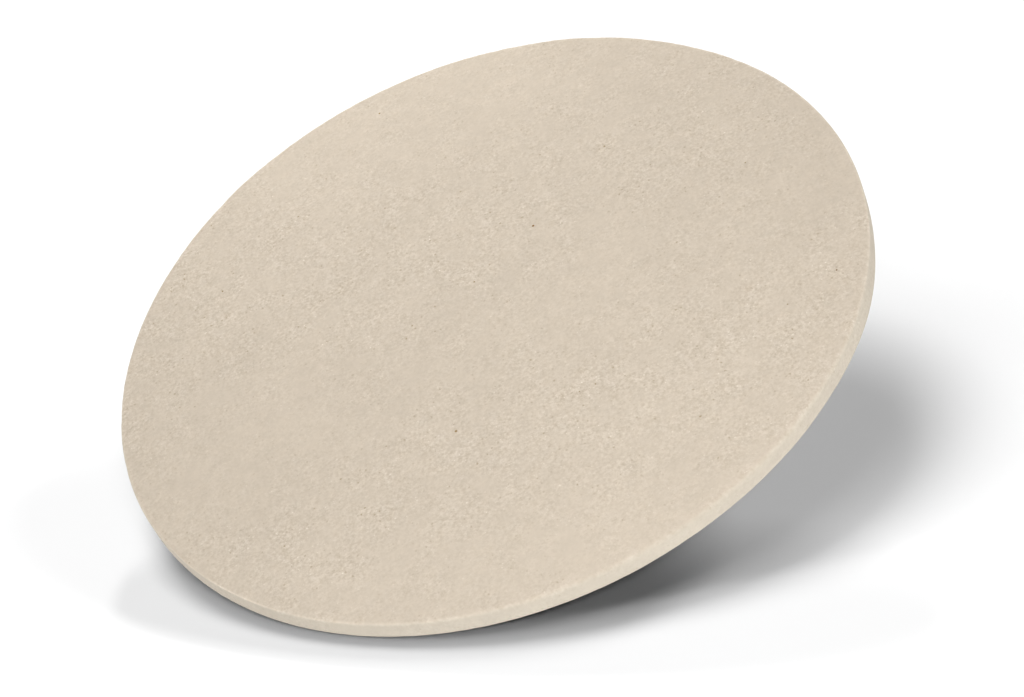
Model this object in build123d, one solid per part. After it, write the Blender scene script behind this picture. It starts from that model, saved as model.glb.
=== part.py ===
from build123d import *
import os

# A round pizza stone: one slab of fired ceramic, with nothing fixed to it.
# Millimetres. The origin is the centre of the underside, +Z comes out of the baking face.

# Driving sizes
stone_diameter = 360.0
stone_thickness = 10.0
baking_edge_radius = 2.5
underside_edge_radius = 2.5

# An edge's rounding takes less than half of the rim's height, so that the rim keeps a flat band.
largest_rounding_share = 0.45


def rounding(wanted_radius):
    """Radius of an edge, no larger than the rim has room for."""
    return min(wanted_radius, largest_rounding_share * stone_thickness)


def baking_stone():
    """The slab: a flat disc whose top and bottom edges are rounded all the way round."""
    slab = extrude(Circle(stone_diameter / 2), amount=stone_thickness)
    baking_edge = slab.edges().filter_by(GeomType.CIRCLE).sort_by(Axis.Z)[-1]
    slab = fillet(baking_edge, rounding(baking_edge_radius))
    underside_edge = slab.edges().filter_by(GeomType.CIRCLE).sort_by(Axis.Z)[0]
    return fillet(underside_edge, rounding(underside_edge_radius))


os.makedirs("parts", exist_ok=True)
export_step(baking_stone(), "parts/baking_stone.step")
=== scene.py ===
import math

import bpy
import numpy as np
from mathutils import Matrix, Vector


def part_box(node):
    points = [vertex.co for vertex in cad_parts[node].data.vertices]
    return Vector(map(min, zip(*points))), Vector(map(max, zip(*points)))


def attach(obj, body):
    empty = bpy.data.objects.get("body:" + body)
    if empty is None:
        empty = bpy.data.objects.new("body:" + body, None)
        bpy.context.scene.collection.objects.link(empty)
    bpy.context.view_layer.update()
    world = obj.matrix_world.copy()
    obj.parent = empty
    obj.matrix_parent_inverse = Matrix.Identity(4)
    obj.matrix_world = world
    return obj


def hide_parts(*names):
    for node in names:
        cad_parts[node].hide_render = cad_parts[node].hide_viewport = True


# A round pizza stone of fired cordierite on a white ground. Metres, in the frame of the CAD part.

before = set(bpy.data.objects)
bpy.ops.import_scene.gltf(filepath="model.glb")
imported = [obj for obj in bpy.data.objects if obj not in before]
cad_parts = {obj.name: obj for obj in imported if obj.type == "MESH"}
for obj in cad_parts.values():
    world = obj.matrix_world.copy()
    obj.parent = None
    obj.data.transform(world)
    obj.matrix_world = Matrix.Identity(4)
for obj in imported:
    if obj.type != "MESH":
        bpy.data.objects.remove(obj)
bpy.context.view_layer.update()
scene = bpy.context.scene
millimetre = 0.001
print("frame loaded, nodes:", sorted(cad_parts))


# Maths that several shapes share

def smoothStep(low, high, values):
    # 0 below low, 1 above high, and 3t^2 - 2t^3 between them
    t = np.clip((values - low) / (high - low), 0, 1)
    return t * t * (3 - 2 * t)


def ringNoise(angles, slowest, fastest, falloff, seed):
    # A sum of cosines of whole numbers of waves round the ring, each weaker than the last by its
    # count to the power of falloff, with random phases, scaled to a spread of 1
    draw = np.random.default_rng(seed)
    counts = np.arange(slowest, fastest + 1)
    heights = counts ** -falloff
    phases = draw.uniform(0, 2 * math.pi, len(counts))
    waves = np.cos(np.outer(angles, counts) + phases) @ heights
    return waves / math.sqrt(np.sum(heights ** 2) / 2)


def bell(angles, heading, halfWidth):
    # exp(-(a / w)^2), a being how far an angle is from the heading the short way round and w the half
    # width. The angles are in radians, the heading and the half width in degrees
    away = (angles - math.radians(heading) + math.pi) % (2 * math.pi) - math.pi
    return np.exp(-(away / math.radians(halfWidth)) ** 2)


def faceNoise(x, y, wavelengths, seed):
    # A sum of plane cosine waves in random directions, one for each wavelength, scaled to a spread of 1
    draw = np.random.default_rng(seed)
    total = np.zeros_like(x)
    for wavelength in wavelengths:
        heading, phase = draw.uniform(0, 2 * math.pi, 2)
        along = x * math.cos(heading) + y * math.sin(heading)
        total += np.cos(2 * math.pi * along / wavelength + phase)
    return total / math.sqrt(len(wavelengths) / 2)


# The stone's shape

stoneShape = {
    "cellsAcross": 192,            # cells of the grid on each face, so four times as many round the rim
    "edgeRings": 9,                # rings round each rounded edge
    "wallRings": 6,                # rings down the flat band of the rim
    "edgeRadius": 2.5 * millimetre,
    # How far each rounding wanders from its radius, as a share of it: slowly, and finely
    "topWander": (0.06, 0.025),
    "underWander": (0.04, 0.015),
    "roundingRange": (0.7, 1.3),   # the least and the most share of the radius that is left by that
    # Stretches of the top edge that are sharper: heading, half width, share taken off the radius
    "sharpStretches": [(-150, 38, 0.55), (-8, 30, 0.45)],
    "outlineSpread": 0.05 * millimetre,
    # Waves round the ring: the fewest, the most, and how fast they weaken with their count
    "outlineWaves": (2, 24, 0.8),
    "slowWaves": (3, 40, 0.5),
    "fineWaves": (60, 220, 0.4),
    "wearWaves": (8, 160, 0.5),
    # Where the slab isn't quite round: heading, half width, how far out at the top edge and at the lower edge
    "outOfRound": [
        (-36, 13, 0.1 * millimetre, 1.5 * millimetre),
        (150, 25, -0.7 * millimetre, -0.7 * millimetre),
        (35, 12, -0.6 * millimetre, -0.6 * millimetre),
        (-130, 30, 0.35 * millimetre, 0.55 * millimetre),
        (-78, 14, -0.10 * millimetre, -0.35 * millimetre),
    ],
    "faceSpread": 0.04 * millimetre,
    "faceWaves": [0.21, 0.17, 0.13, 0.11, 0.083, 0.071, 0.059, 0.047],   # lengths of the dips' waves
    "dipFade": (0.9, 1.0),         # shares of the radius between which the dips fade out
    "chipCount": 18,
    "chipDepth": 0.15 * millimetre,
    "chipLength": 2.6 * millimetre,
    "chipSizes": (0.4, 1.0),       # the least and the most share of that depth and length
    "chipOnTopShare": 0.85,
    "chipHeights": (0.95, 0.05),   # shares of the thickness at which the top and the lower chips sit
    # Wear of the edges: its middle, how much it varies round the ring, and its least and most
    "wearMiddle": 0.75,
    "wearSpread": 0.25,
    "wearRange": (0.2, 1.3),
    # Seeds of the random draws; the fine waves of each rounding take the next one up
    "seeds": {"outline": 11, "rounding": (21, 31), "face": (41, 51), "chips": 61, "wear": 71},
    # Halves of the shares of the bake map's width that the two faces take, and the gap round each part
    "bakeMapTop": 0.34,
    "bakeMapUnder": 0.21,
    "bakeMapGap": 0.005,
}


def discGrid(cells):
    # The square from -1 to 1 folded onto the unit disc: each ring of the square becomes a circle of
    # the same half width, and a place along a side becomes an angle in step with it
    side = np.linspace(-1, 1, cells + 1)
    a, b = np.meshgrid(side, side, indexing="ij")
    wide = np.abs(a) > np.abs(b)
    radius = np.where(wide, a, b)
    safe = np.where(radius == 0, 1, radius)
    angle = np.where(wide, math.pi / 4 * b / safe, math.pi / 2 - math.pi / 4 * a / safe)
    return radius * np.cos(angle), radius * np.sin(angle)


def gridRing(cells):
    # Indices of the grid's outermost points, once round from the corner at -45 degrees
    n = cells + 1
    run = np.arange(cells)
    right = cells * n + run
    top = (cells - run) * n + cells
    left = cells - run
    bottom = run * n
    return np.concatenate([right, top, left, bottom])


def gridQuads(cells):
    # The four corners of every cell, counter-clockwise seen from above
    n = cells + 1
    i, j = np.meshgrid(np.arange(cells), np.arange(cells), indexing="ij")
    corner = (i * n + j).ravel()
    return np.stack([corner, corner + n, corner + n + 1, corner + 1], axis=1)


def buildStone(shape, low, high):
    # The baking face and the underside are folded grids, and the rim is a profile carried round the
    # ring: a quarter circle, a straight band and another quarter circle
    cells = shape["cellsAcross"]
    outer = (high.x - low.x + high.y - low.y) / 4
    thick = high.z - low.z
    unitX, unitY = (part.ravel() for part in discGrid(cells))
    ring = gridRing(cells)
    ringAngle = np.arctan2(unitY[ring], unitX[ring])
    around = len(ring)
    seeds = shape["seeds"]

    # What the hand finishing leaves: the outline and both roundings wander a little
    wander = ringNoise(ringAngle, *shape["outlineWaves"], seeds["outline"]).clip(-1, 1)
    outline = outer - shape["outlineSpread"] * (1 + wander)
    lowerOutline = outline.copy()
    for heading, halfWidth, topShift, lowerShift in shape["outOfRound"]:
        outline = outline + topShift * bell(ringAngle, heading, halfWidth)
        lowerOutline = lowerOutline + lowerShift * bell(ringAngle, heading, halfWidth)
    # Nothing passes the square that the round slab fills
    most = outer / np.maximum(np.abs(np.cos(ringAngle)), np.abs(np.sin(ringAngle)))
    outline, lowerOutline = np.minimum(outline, most), np.minimum(lowerOutline, most)
    rounding = []
    for seed, (slow, fine) in zip(seeds["rounding"], (shape["topWander"], shape["underWander"])):
        wander = slow * ringNoise(ringAngle, *shape["slowWaves"], seed)
        wander += fine * ringNoise(ringAngle, *shape["fineWaves"], seed + 1)
        rounding.append(shape["edgeRadius"] * (1 + wander).clip(*shape["roundingRange"]))
    sharpness = np.zeros(around)
    for heading, halfWidth, share in shape["sharpStretches"]:
        sharpness += share * bell(ringAngle, heading, halfWidth)
    rounding[0] = rounding[0] * (1 - sharpness)

    # The faces dip by a few hundredths of a millimetre, which fades to nothing at the edge
    gridRadius = np.hypot(unitX, unitY)
    gridAngle = np.arctan2(unitY, unitX)
    order = np.argsort(ringAngle)
    faces = []
    for seed, edge, rim in zip(seeds["face"], rounding, (outline, lowerOutline)):
        reach = np.interp(gridAngle, ringAngle[order], (rim - edge)[order], period=2 * math.pi)
        x, y = unitX * reach, unitY * reach
        dip = shape["faceSpread"] * (1 + faceNoise(x, y, shape["faceWaves"], seed).clip(-1, 1))
        dip *= 1 - smoothStep(*shape["dipFade"], gridRadius)
        faces.append((x, y, dip))

    # Rim profile, from the baking face down: the top rounding, the band, then the lower rounding. A lean
    # is how far the surface has turned from facing up
    quarter = np.linspace(0, math.pi / 2, shape["edgeRings"] + 1)
    band = np.linspace(0, 1, shape["wallRings"] + 1)[1:-1]
    topEdge, underEdge = rounding
    radii, heights, leans = [], [], []
    for turn in quarter[1:]:
        radii.append(outline - topEdge * (1 - math.sin(turn)))
        heights.append(thick - topEdge * (1 - math.cos(turn)))
        leans.append(turn)
    for share in band:
        radii.append(outline + share * (lowerOutline - outline))
        heights.append(thick - topEdge - share * (thick - topEdge - underEdge))
        leans.append(math.pi / 2)
    for turn in quarter[::-1][:-1]:
        radii.append(lowerOutline - underEdge * (1 - math.sin(turn)))
        heights.append(underEdge * (1 - math.cos(turn)))
        leans.append(math.pi - turn)
    radii, heights = np.array(radii), np.array(heights)
    leans = np.array(leans)[:, None]

    # Small chips: each pushes the rim in along its own normal, by a bell curve of angle and height
    draw = np.random.default_rng(seeds["chips"])
    topSide, lowerSide = shape["chipHeights"]
    for _ in range(shape["chipCount"]):
        centre = draw.uniform(-math.pi, math.pi)
        size = draw.uniform(*shape["chipSizes"])
        side = thick * (topSide if draw.random() < shape["chipOnTopShare"] else lowerSide)
        away = (ringAngle - centre + math.pi) % (2 * math.pi) - math.pi
        along = away * outer / (size * shape["chipLength"])
        up = (heights - side) / (size * shape["edgeRadius"])
        depth = size * shape["chipDepth"] * np.exp(-along ** 2 - up ** 2)
        radii = radii - depth * np.sin(leans)
        heights = heights - depth * np.cos(leans)
    heights = heights.clip(0, thick)

    rimX = radii * np.cos(ringAngle)
    rimY = radii * np.sin(ringAngle)
    (topX, topY, topDip), (underX, underY, underDip) = faces
    places = np.concatenate([
        np.stack([topX, topY, thick - topDip], axis=1),
        np.stack([rimX.ravel(), rimY.ravel(), heights.ravel()], axis=1),
        np.stack([underX, underY, underDip], axis=1),
    ])
    places[:, 2] += low.z

    # Quads: the top grid, the bands of the rim between neighbouring rings, and the underside turned over
    perFace = len(unitX)
    rimRows = len(radii)
    rows = [ring]
    rows += [perFace + row * around + np.arange(around) for row in range(rimRows)]
    rows += [perFace + rimRows * around + ring]
    topQuads = gridQuads(cells)
    underQuads = gridQuads(cells)[:, ::-1] + perFace + rimRows * around
    bandQuads = [
        np.stack([upper, lower, np.roll(lower, -1), np.roll(upper, -1)], axis=1)
        for upper, lower in zip(rows[:-1], rows[1:])
    ]
    quads = np.concatenate([topQuads, *bandQuads, underQuads])

    # Marks for the finish: edgeWear is sin(2 lean) squared, so most at the middle of each rounding, and
    # patchy round the ring. The crest mark is narrower, and only where the top edge is sharper: it is
    # where a painted highlight lightens that edge. rimSide is sin(lean) squared, so 1 on the rim's band
    # and 0 on the faces
    patchy = shape["wearSpread"] * ringNoise(ringAngle, *shape["wearWaves"], seeds["wear"])
    patchy = (shape["wearMiddle"] + patchy).clip(*shape["wearRange"])
    middle = np.sin(2 * leans) ** 2
    marks = {
        "edgeWear": middle * patchy,
        "paintedHighlightCrest": middle ** 2 * patchy * sharpness * (leans < math.pi / 2),
        "rimSide": np.sin(leans) ** 2 * np.ones(around),
    }

    # Bake map: the baking face lies large at one corner and the underside small at the opposite one. The
    # rim is unrolled into four straight strips over the first, as wide as its profile is long. Travel is
    # the way along that profile from the baking face
    top, under, gap = shape["bakeMapTop"], shape["bakeMapUnder"], shape["bakeMapGap"]
    scale = top / outer
    topPlace = np.stack([topX, topY], axis=1) * scale + top + gap
    underPlace = np.stack([-underX, underY], axis=1) * under / outer + 1 - under - gap
    rowRadii = np.concatenate([[outline - topEdge], radii, [lowerOutline - underEdge]])
    rowHeights = np.concatenate([[np.full(around, thick)], heights, [np.zeros(around)]])
    steps = np.hypot(np.diff(rowRadii, axis=0), np.diff(rowHeights, axis=0)).mean(axis=1)
    travel = np.concatenate([[0], np.cumsum(steps)])
    stripLength = math.pi / 2 * outer * scale
    stripStep = travel[-1] * scale + 2 * gap
    bandPlaces = []
    place = np.arange(around)
    strip = place // cells
    start = (place % cells) / cells * stripLength + 2 * gap
    end = start + stripLength / cells
    base = 2 * top + 4 * gap + strip * stripStep
    for upper, lower in zip(travel[:-1], travel[1:]):
        v0, v1 = base + upper * scale, base + lower * scale
        corners = [np.stack(pair, axis=1) for pair in ((start, v0), (start, v1), (end, v1), (end, v0))]
        bandPlaces.append(np.stack(corners, axis=1))
    mapPlaces = np.concatenate([
        topPlace[topQuads],
        *bandPlaces,
        underPlace[gridQuads(cells)[:, ::-1]],
    ])

    mesh = bpy.data.meshes.new("pizzaStone")
    mesh.from_pydata(places.tolist(), [], quads.tolist())
    mesh.update()
    mesh.polygons.foreach_set("use_smooth", np.ones(len(quads), bool))
    layer = mesh.uv_layers.new(name="OFBake")
    layer.data.foreach_set("uv", mapPlaces.astype(np.float32).ravel())
    for name, mark in marks.items():
        values = np.zeros(len(places), np.float32)
        values[perFace:perFace + rimRows * around] = mark.ravel()
        mesh.attributes.new(name, "FLOAT", "POINT").data.foreach_set("value", values)
    mesh.validate()
    stone = bpy.data.objects.new("pizza_stone", mesh)
    scene.collection.objects.link(stone)
    return stone


# The stone's finish

stoneLook = {
    "colour": (0.681, 0.588, 0.475),       # of the faces, before the grain
    "sideColour": (0.657, 0.586, 0.484),   # the rim's band is a little greyer than the faces
    "grainColour": (0.555, 0.588, 0.62),   # what a paler or darker grain adds or takes away
    "roughness": 0.9,
    "specular": 0.25,
    # Bands of noise: a larger detail adds finer waves, and each weakens by bandFalloff
    "bandFalloff": 0.55,
    "cloud": {"size": 42 * millimetre, "detail": 3.0, "strength": 0.10},
    "mottle": {"size": 6 * millimetre, "detail": 2.5, "strength": 0.14},
    "grain": {"size": 1.5 * millimetre, "detail": 1.5, "strength": 0.36},
    "fineGrain": {"size": 0.7 * millimetre, "detail": 0.0, "strength": 0.135},
    # Grains: the radius is a share of the spacing, and the share is how many of the places have one
    "grainCore": 0.5,              # the share of a grain's radius inside which it has its full strength
    "paleGrains": {"spacing": 2.0 * millimetre, "radius": 0.21, "share": 0.7, "strength": 0.235},
    "darkGrains": {"spacing": 2.6 * millimetre, "radius": 0.25, "share": 0.55, "strength": -0.225},
    "ironSpecks": {"spacing": 13 * millimetre, "radius": 0.05, "share": 0.4, "strength": -0.50},
    "spotCore": 0.3,               # the share of a spot's radius inside which it has its full strength
    # The plainest spots on the baking face: x, y, radius, strength
    "ironSpots": [
        (37 * millimetre, 32 * millimetre, 0.85 * millimetre, -0.95),
        (-34 * millimetre, -70 * millimetre, 0.95 * millimetre, -0.62),
        (145 * millimetre, -81 * millimetre, 0.55 * millimetre, -0.80),
        (-111 * millimetre, 87 * millimetre, 0.62 * millimetre, -0.85),
        (137 * millimetre, 8 * millimetre, 0.57 * millimetre, -0.55),
        (119 * millimetre, -87 * millimetre, 0.60 * millimetre, -0.50),
        (1 * millimetre, 14 * millimetre, 0.60 * millimetre, -0.70),
        (-6 * millimetre, 162 * millimetre, 0.70 * millimetre, -0.80),
    ],
    # Broad smooth areas of the face: x, y, heading in degrees, half length, half width and the share of
    # the grain that is lost
    "smoothAreas": [
        (40 * millimetre, -20 * millimetre, 10, 75 * millimetre, 35 * millimetre, 0.5),
        (-120 * millimetre, -20 * millimetre, 0, 70 * millimetre, 40 * millimetre, 0.65),
        (175 * millimetre, -20 * millimetre, 25, 65 * millimetre, 30 * millimetre, 0.6),
        (20 * millimetre, 150 * millimetre, -25, 160 * millimetre, 60 * millimetre, 0.5),
        (-5 * millimetre, -165 * millimetre, -10, 160 * millimetre, 45 * millimetre, 0.45),
    ],
    # How strong the grain is from place to place elsewhere: about a middle, from a least to a most
    "patches": {"size": 14 * millimetre, "detail": 3.0, "strength": 4.3},
    "patchMiddle": 1.25,
    "patchRange": (0.25, 2.6),
    "rimGrainShare": 0.5,          # how much of the grain the pressed rim shows
    "grainWarp": {"size": 1.3 * millimetre, "reach": 0.8 * millimetre},   # pushes grains out of round
    "edgeFlecks": {"size": 2.4 * millimetre, "detail": 1.0, "strength": 0.30},
    "paintedHighlightLift": 0.27,             # how much a painted highlight lightens the sharper stretches of the top edge
    "grainHeight": 0.05 * millimetre,
}


class Nodes:
    # Short ways to add and join the nodes of one tree
    def __init__(self, tree):
        self.tree = tree

    def add(self, kind, **settings):
        node = self.tree.nodes.new(kind)
        for name, value in settings.items():
            setattr(node, name, value)
        return node

    def join(self, value, socket):
        # A socket is linked, and anything else becomes the socket's own value
        if isinstance(value, bpy.types.NodeSocket):
            self.tree.links.new(value, socket)
        else:
            socket.default_value = value

    def sum(self, kind, first, second=0.0, third=0.0):
        # A sum of numbers
        node = self.add("ShaderNodeMath", operation=kind)
        for value, socket in zip((first, second, third), node.inputs):
            self.join(value, socket)
        return node.outputs[0]

    def vector(self, kind, first, second, third=(0.0, 0.0, 0.0)):
        # A sum of vectors; a single number joined to it stands for all three parts
        node = self.add("ShaderNodeVectorMath", operation=kind)
        for value, socket in zip((first, second, third), node.inputs):
            self.join(value, socket)
        return node.outputs[0]


def noiseBand(nodes, where, band, falloff):
    # Noise about zero: (noise - 0.5) times strength
    noise = nodes.add("ShaderNodeTexNoise", noise_dimensions="3D")
    nodes.join(where, noise.inputs["Vector"])
    noise.inputs["Scale"].default_value = 1 / band["size"]
    noise.inputs["Detail"].default_value = band["detail"]
    noise.inputs["Roughness"].default_value = falloff
    return nodes.sum("MULTIPLY", nodes.sum("SUBTRACT", noise.outputs["Fac"], 0.5), band["strength"])


def scatteredGrains(nodes, where, kind, core):
    # Grains in the body of the ceramic, cut by its surface: round each random point, 1 in the core
    # falling to 0 at the radius, for the chosen share of the points, times a random weight and strength
    cells = nodes.add("ShaderNodeTexVoronoi", voronoi_dimensions="3D", feature="F1")
    nodes.join(where, cells.inputs["Vector"])
    cells.inputs["Scale"].default_value = 1 / kind["spacing"]
    inside = nodes.add("ShaderNodeMapRange", interpolation_type="SMOOTHSTEP")
    nodes.join(cells.outputs["Distance"], inside.inputs["Value"])
    inside.inputs["From Min"].default_value = kind["radius"]
    inside.inputs["From Max"].default_value = kind["radius"] * core
    chance = nodes.add("ShaderNodeSeparateColor")
    nodes.join(cells.outputs["Color"], chance.inputs["Color"])
    chosen = nodes.sum("LESS_THAN", chance.outputs["Red"], kind["share"])
    weight = nodes.sum("MULTIPLY", chosen, chance.outputs["Green"])
    return nodes.sum("MULTIPLY", nodes.sum("MULTIPLY", inside.outputs[0], weight), kind["strength"])


def ironSpot(nodes, where, level, spot, core):
    # A spot on the baking face: 1 in its core falling to 0 at its radius, times strength
    x, y, radius, strength = spot
    away = nodes.add("ShaderNodeVectorMath", operation="DISTANCE")
    nodes.join(where, away.inputs[0])
    away.inputs[1].default_value = (x, y, level)
    inside = nodes.add("ShaderNodeMapRange", interpolation_type="SMOOTHSTEP")
    nodes.join(away.outputs["Value"], inside.inputs["Value"])
    inside.inputs["From Min"].default_value = radius
    inside.inputs["From Max"].default_value = radius * core
    return nodes.sum("MULTIPLY", inside.outputs[0], strength)


def smoothArea(nodes, where, area):
    # exp(-q^2) times the share, q being the distance from the centre in half lengths and half widths
    x, y, heading, halfLength, halfWidth, share = area
    place = nodes.add("ShaderNodeMapping", vector_type="TEXTURE")
    nodes.join(where, place.inputs["Vector"])
    place.inputs["Location"].default_value = (x, y, 0)
    place.inputs["Rotation"].default_value = (0, 0, math.radians(heading))
    place.inputs["Scale"].default_value = (halfLength, halfWidth, 1)
    away = nodes.add("ShaderNodeVectorMath", operation="DOT_PRODUCT")
    nodes.join(place.outputs[0], away.inputs[0])
    nodes.join(place.outputs[0], away.inputs[1])
    fall = nodes.sum("EXPONENT", nodes.sum("MULTIPLY", away.outputs["Value"], -1.0))
    return nodes.sum("MULTIPLY", fall, share)


def firedCeramic(look, level):
    # The stone's material; level is the height of the baking face, where the iron spots are
    material = bpy.data.materials.new("firedCeramic")
    material.use_nodes = True
    tree = material.node_tree
    tree.nodes.clear()
    nodes = Nodes(tree)
    where = nodes.add("ShaderNodeTexCoord").outputs["Object"]

    # The grains' places are pushed about a little, so that they aren't round
    warp = look["grainWarp"]
    pushes = nodes.add("ShaderNodeTexNoise", noise_dimensions="3D")
    nodes.join(where, pushes.inputs["Vector"])
    pushes.inputs["Scale"].default_value = 1 / warp["size"]
    pushes.inputs["Detail"].default_value = 0.0
    push = nodes.vector("SUBTRACT", pushes.outputs["Color"], (0.5, 0.5, 0.5))
    warped = nodes.vector("MULTIPLY_ADD", push, (warp["reach"],) * 3, where)

    falloff, core = look["bandFalloff"], look["grainCore"]
    bands = {
        name: noiseBand(nodes, where, look[name], falloff)
        for name in ("cloud", "mottle", "grain", "fineGrain", "patches", "edgeFlecks")
    }
    grains = {
        name: scatteredGrains(nodes, warped, look[name], core) for name in ("paleGrains", "darkGrains")
    }
    specks = scatteredGrains(nodes, where, look["ironSpecks"], core)
    marks = {
        name: nodes.add("ShaderNodeAttribute", attribute_name=name).outputs["Fac"]
        for name in ("edgeWear", "paintedHighlightCrest", "rimSide")
    }

    # Patches: the grain's strength from place to place, less in the smooth areas
    least, most = look["patchRange"]
    patches = nodes.sum("ADD", bands["patches"], look["patchMiddle"])
    patches = nodes.sum("MAXIMUM", nodes.sum("MINIMUM", patches, most), least)
    kept = 1.0
    for area in look["smoothAreas"]:
        kept = nodes.sum("SUBTRACT", kept, smoothArea(nodes, where, area))
    patches = nodes.sum("MULTIPLY", patches, kept)

    # Grain: the fine bands and both kinds of grain, times the patches and fainter on the rim, plus the
    # iron specks and spots and the flecks of the worn edges
    faded = nodes.sum("MULTIPLY_ADD", marks["rimSide"], look["rimGrainShare"] - 1, 1.0)
    fine = nodes.sum("ADD", bands["grain"], bands["fineGrain"])
    grain = fine
    for part in grains.values():
        grain = nodes.sum("ADD", grain, part)
    grain = nodes.sum("MULTIPLY", nodes.sum("MULTIPLY", grain, patches), faded)
    grain = nodes.sum("ADD", grain, specks)
    grain = nodes.sum("ADD", grain, nodes.sum("MULTIPLY", bands["edgeFlecks"], marks["edgeWear"]))
    for spot in look["ironSpots"]:
        grain = nodes.sum("ADD", grain, ironSpot(nodes, where, level, spot, look["spotCore"]))

    # Colour: the body's own times 1 plus the crest's painted highlight, the clouds and the mottle, plus the
    # grain's colour times the grain
    lightness = nodes.sum("MULTIPLY_ADD", marks["paintedHighlightCrest"], look["paintedHighlightLift"], 1.0)
    lightness = nodes.sum("ADD", lightness, nodes.sum("ADD", bands["cloud"], bands["mottle"]))
    difference = [side - face for face, side in zip(look["colour"], look["sideColour"])]
    ground = nodes.vector("MULTIPLY_ADD", marks["rimSide"], difference, look["colour"])
    body = nodes.vector("MULTIPLY", lightness, ground)
    tint = nodes.vector("MULTIPLY_ADD", grain, look["grainColour"], body)

    # Relief: the fine bands stand up and sink in, and the dark grains are pits
    height = nodes.sum("MULTIPLY", nodes.sum("ADD", fine, grains["darkGrains"]), faded)
    bump = nodes.add("ShaderNodeBump")
    bump.inputs["Strength"].default_value = 1.0
    bump.inputs["Distance"].default_value = look["grainHeight"]
    nodes.join(height, bump.inputs["Height"])

    shader = nodes.add("ShaderNodeBsdfPrincipled")
    nodes.join(tint, shader.inputs["Base Color"])
    nodes.join(bump.outputs["Normal"], shader.inputs["Normal"])
    shader.inputs["Roughness"].default_value = look["roughness"]
    shader.inputs["Specular IOR Level"].default_value = look["specular"]
    output = nodes.add("ShaderNodeOutputMaterial")
    nodes.join(shader.outputs[0], output.inputs["Surface"])
    return material


low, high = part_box("baking_stone")
stone = buildStone(stoneShape, low, high)
stone.data.materials.append(firedCeramic(stoneLook, high.z))
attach(stone, "root")
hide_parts("baking_stone")
print("stone built, faces:", len(stone.data.polygons))


# Studio: floor, lamps, background and camera

studio = {
    "floorHalfWidth": 30.0,
    "floorGap": 0.5 * millimetre,
    "floorLean": 20.0,             # the photographed stone leans: degrees that the floor falls away under it
    "leanHeading": -126.6,         # the side of the rim that it leans on, counter-clockwise from +X
    "floorColour": 0.9,
    "lampDistance": 0.9,
    # stone only: heading in degrees counter-clockwise from +X, height above the horizon, width, watts
    "softBoxes": {
        "above": (-90, 65, 0.3, 3.39),
        "far": (90, 25, 0.3, 6.74),
        "near": (-90, 25, 0.3, 1.76),
        "nearRight": (-70, 14, 0.3, 2.97),
        "right": (10, 4, 0.3, 3.49),
        "left": (-170, 4, 0.3, 3.95),
        "lowLeft": (-110, -55, 0.3, 2.34),
        "lowRight": (-60, -55, 0.3, 2.45),
        "below": (0, -90, 0.9, 1.68),
    },
    # floor only: heading, height above the horizon, width of the sun's disc in degrees, share of the light
    "floorSuns": {
        "behind": (85, 42, 29, 0.361),
        "behindHigh": (128, 74, 43, 0.155),
        "behindLow": (74, 6, 5, 0.135),
        "right": (26, 13, 14, 0.142),
        "near": (-69, 49, 14, 0.086),
        "left": (171, 15, 5, 0.060),
        "leftHigh": (160, 32, 28, 0.061),
    },
    "floorLight": 1.13,            # a little over white, so that the faint ends of the shadow are lost
}


def linked(name, *members):
    # A collection for light linking, which isn't put in the scene
    collection = bpy.data.collections.new(name)
    for member in members:
        collection.objects.link(member)
    return collection


def towards(heading, height):
    # The unit vector at a heading counter-clockwise from +X and a height above the horizon, in degrees
    a, e = math.radians(heading), math.radians(height)
    return Vector((math.cos(a) * math.cos(e), math.sin(a) * math.cos(e), math.sin(e)))


def placeLamp(name, kind, direction, receivers, blockers):
    # A lamp in a direction from the origin, shining back along it, on the receivers alone. How far off a
    # sun is doesn't matter
    lamp = bpy.data.lights.new(name, kind)
    holder = bpy.data.objects.new(name, lamp)
    scene.collection.objects.link(holder)
    holder.location = direction * studio["lampDistance"]
    holder.rotation_euler = direction.to_track_quat("Z", "Y").to_euler()
    holder.light_linking.receiver_collection = receivers
    holder.light_linking.blocker_collection = blockers
    holder.visible_camera = False
    return lamp


def floorMaterial(colour):
    # White seen from above and clear seen from below, so that the underside can be looked at
    material = bpy.data.materials.new("studioFloor")
    material.use_nodes = True
    tree = material.node_tree
    tree.nodes.clear()
    nodes = Nodes(tree)
    matte = nodes.add("ShaderNodeBsdfDiffuse")
    matte.inputs["Color"].default_value = (colour, colour, colour, 1)
    clear = nodes.add("ShaderNodeBsdfTransparent")
    mix = nodes.add("ShaderNodeMixShader")
    nodes.join(nodes.add("ShaderNodeNewGeometry").outputs["Backfacing"], mix.inputs[0])
    nodes.join(matte.outputs[0], mix.inputs[1])
    nodes.join(clear.outputs[0], mix.inputs[2])
    output = nodes.add("ShaderNodeOutputMaterial")
    nodes.join(mix.outputs[0], output.inputs["Surface"])
    return material


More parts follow.
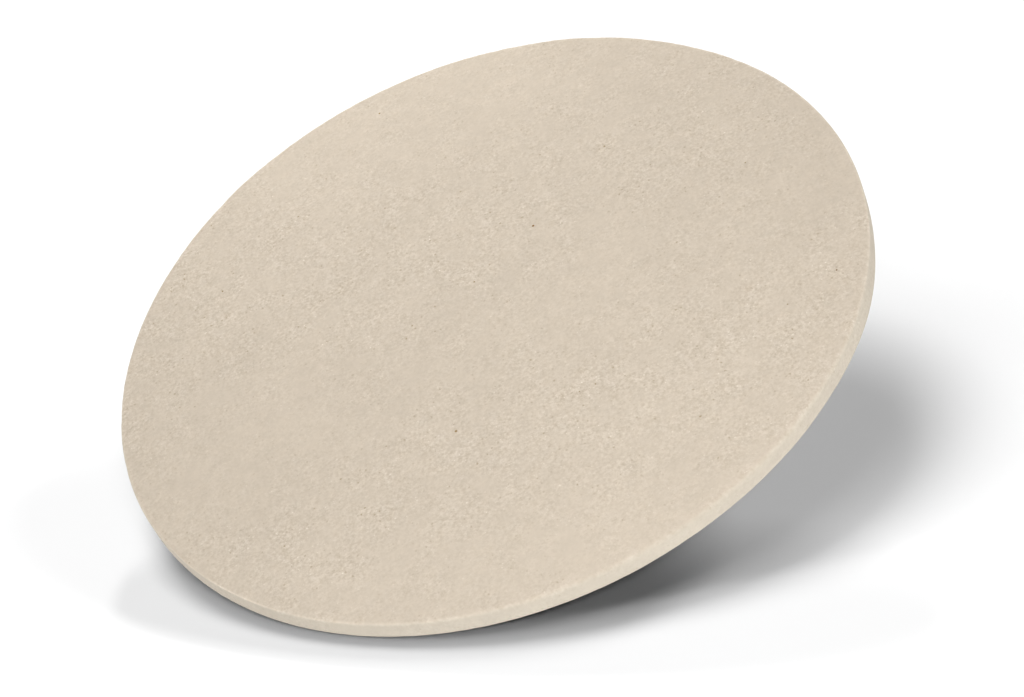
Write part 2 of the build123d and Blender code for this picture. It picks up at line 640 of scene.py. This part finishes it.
def buildFloor(studio, stone, rimRadius):
    # A square whose normal leans away from the heading, so that the stone is nearest to it there and it
    # falls away under the rest: along that normal it lies the gap below the stone's lowest point
    lean, heading = math.radians(studio["floorLean"]), math.radians(studio["leanHeading"])
    outward = Vector((math.cos(heading), math.sin(heading), 0))
    normal = Vector((0, 0, math.cos(lean))) - outward * math.sin(lean)
    places = np.empty(len(stone.data.vertices) * 3, np.float32)
    stone.data.vertices.foreach_get("co", places)
    lowest = float((places.reshape(-1, 3) @ np.array(normal)).min())
    nearest = outward * rimRadius
    touch = nearest + normal * (lowest - studio["floorGap"] - nearest.dot(normal))
    half = studio["floorHalfWidth"]
    along = Vector((-outward.y, outward.x, 0))
    across = normal.cross(along)
    corners = [touch + along * a * half + across * b * half for a, b in ((-1, -1), (1, -1), (1, 1), (-1, 1))]
    mesh = bpy.data.meshes.new("floor")
    mesh.from_pydata(corners, [], [(0, 1, 2, 3)])
    floor = bpy.data.objects.new("floor", mesh)
    scene.collection.objects.link(floor)
    mesh.materials.append(floorMaterial(studio["floorColour"]))
    # The soft boxes below stand in for what the floor would throw back at the stone
    floor.visible_diffuse = False
    return floor, normal


floor, floorNormal = buildFloor(studio, stone, high.x)
stone.visible_diffuse = False      # nor does the stone tint the floor's shadow
stoneOnly = linked("stoneOnly", stone)
floorOnly = linked("floorOnly", floor)

for name, (heading, height, width, watts) in studio["softBoxes"].items():
    lamp = placeLamp(name, "AREA", towards(heading, height), stoneOnly, stoneOnly)
    lamp.shape = "DISK"
    lamp.size = width
    lamp.energy = watts

for name, (heading, height, width, share) in studio["floorSuns"].items():
    direction = towards(heading, height)
    lamp = placeLamp(name, "SUN", direction, floorOnly, stoneOnly)
    lamp.angle = math.radians(width)
    # A sun of strength s lights a matte floor of colour c to s c / pi times the cosine to its normal, so
    # this strength gives the floor its share of the light
    fall = studio["floorColour"] * direction.dot(floorNormal)
    lamp.energy = studio["floorLight"] * share * math.pi / fall


def whiteSurround():
    # White where the camera, a reflection or a view through glass looks past the floor, and no light
    # otherwise
    world = bpy.data.worlds.new("whiteSurround")
    world.use_nodes = True
    tree = world.node_tree
    tree.nodes.clear()
    nodes = Nodes(tree)
    path = nodes.add("ShaderNodeLightPath").outputs
    seen = nodes.sum("ADD", path["Is Camera Ray"], path["Is Glossy Ray"])
    seen = nodes.sum("ADD", seen, path["Is Transmission Ray"])
    background = nodes.add("ShaderNodeBackground")
    background.inputs["Color"].default_value = (1, 1, 1, 1)
    nodes.join(nodes.sum("MINIMUM", seen, 1.0), background.inputs["Strength"])
    output = nodes.add("ShaderNodeOutputWorld")
    nodes.join(background.outputs[0], output.inputs["Surface"])
    return world


scene.world = whiteSurround()
scene.view_settings.view_transform = "Standard"

cameraPose = {
    "place": (0.0035, -0.8257, 0.7456),
    "elevation": 43.03,            # degrees that the camera looks down
    "roll": -25.41,                # degrees that the camera is turned about its own line of sight
    "lens": 85.0,                  # this and the sensor's width are in millimetres
    "sensorWidth": 36.0,
    "nearest": 0.01,               # what the camera sees lies between these two distances
    "farthest": 100.0,
}


def placeCamera(pose):
    # A camera that looks along +Y from its place, tilted down and then rolled
    camera = bpy.data.cameras.new("camera")
    camera.lens = pose["lens"]
    camera.sensor_width = pose["sensorWidth"]
    camera.clip_start, camera.clip_end = pose["nearest"], pose["farthest"]
    holder = bpy.data.objects.new("camera", camera)
    scene.collection.objects.link(holder)
    tilt = Matrix.Rotation(math.radians(90 - pose["elevation"]), 4, "X")
    roll = Matrix.Rotation(math.radians(pose["roll"]), 4, "Z")
    holder.matrix_world = Matrix.Translation(pose["place"]) @ tilt @ roll
    scene.camera = holder


placeCamera(cameraPose)
print("studio ready")
